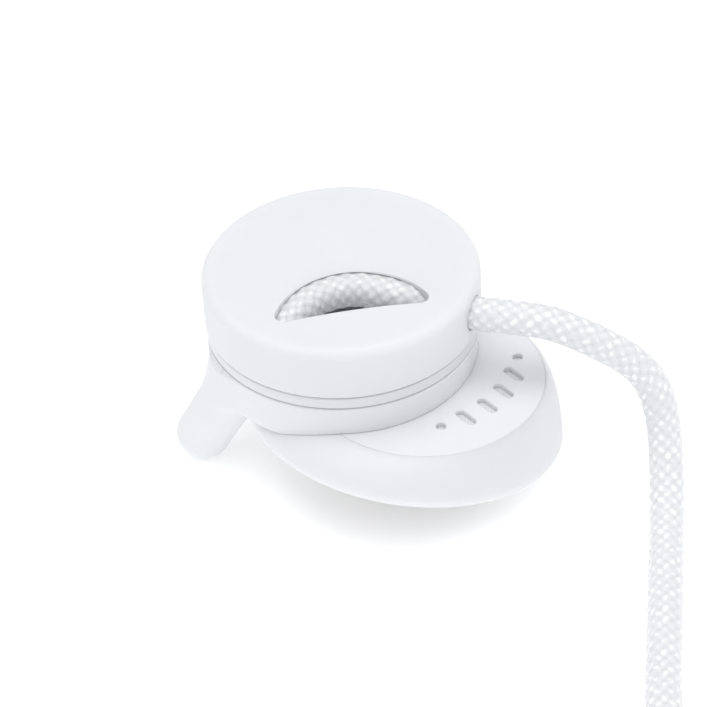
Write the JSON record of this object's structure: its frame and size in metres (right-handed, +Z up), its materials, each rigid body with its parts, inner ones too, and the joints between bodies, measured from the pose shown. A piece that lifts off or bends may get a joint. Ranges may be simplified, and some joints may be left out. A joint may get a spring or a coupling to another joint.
{
  "type": "in-ear headphone",
  "caption": "In-ear headphone lying on its speaker face: round cap with a crescent window, trim ring, silicone collar with a stud, vented speaker pod, braided cord and plug.",
  "frame": {"origin": "middle of the underside of the bud's own box, on the surface that the bud lies on; the free cord and its plug are not counted", "axes": "+Z up, along the axis of the round cap and out of its flat face; +X towards the side where the cord leaves the cap; +Y away from the vents"},
  "size_m": [0.0534, 0.0843, 0.0135],
  "materials": {
    "soft_touch_white": "soft-touch matte, cool white",
    "pale_plastic": "fine satin, cool pale grey-white",
    "trim_satin": "satin, slightly greyer than the cap",
    "silicone_white": "soft matte silicone",
    "woven_mesh": "fine woven wire mesh",
    "acoustic_cloth": "fine dark cloth",
    "foam": "open-cell foam",
    "steel": "plain steel",
    "nickel": "bright nickel",
    "copper": "enamelled copper wire",
    "film": "thin formed film",
    "paper": "damping paper",
    "circuit_board": "green solder mask",
    "solder": "solder",
    "enamel_red": "enamelled wire",
    "enamel_green": "enamelled wire",
    "braid_white": "glossy white braid",
    "strap_white": "hook-and-loop strap",
    "dark_plastic": "moulded insulator"
  },
  "bodies": {
    "housing": {"cap_shell": "soft_touch_white", "cap_floor": "pale_plastic", "cord_inner": "braid_white", "cord_crimp": "steel", "trim_ring": "trim_satin", "neck_hub": "pale_plastic", "ear_stabiliser": "silicone_white", "deck_plate": "pale_plastic", "vent_screen": "woven_mesh", "pod_shell": "soft_touch_white", "speaker_grille": "steel", "grille_cloth": "acoustic_cloth", "front_gasket": "foam", "driver_frame": "pale_plastic", "damping_paper": "paper", "yoke_cup": "steel", "magnet": "nickel", "pole_plate": "steel", "diaphragm_surround": "film", "terminal_board": "circuit_board", "solder_pad_signal": "solder", "solder_pad_ground": "solder", "lead_wire_signal": "enamel_red", "lead_wire_ground": "enamel_green", "cord_run": "braid_white", "cord_coil": "braid_white", "cord_tail": "braid_white", "coil_tie": "strap_white", "plug_relief": "silicone_white", "plug_barrel": "soft_touch_white", "plug_collar": "nickel", "plug_sleeve_contact": "nickel", "plug_insulator": "dark_plastic", "plug_tip_contact": "nickel"},
    "diaphragm": {"diaphragm_dome": "film", "voice_coil": "copper"}
  },
  "joints": [
    {"name": "diaphragm_travel", "type": "slide", "parent": "housing", "child": "diaphragm", "axis": [0.1723, 0.1829, 0.9679], "range_m": [-0.00025, 0.00025], "stiffness_N_per_m": 40, "deforming": ["diaphragm_surround"]}
  ]
}
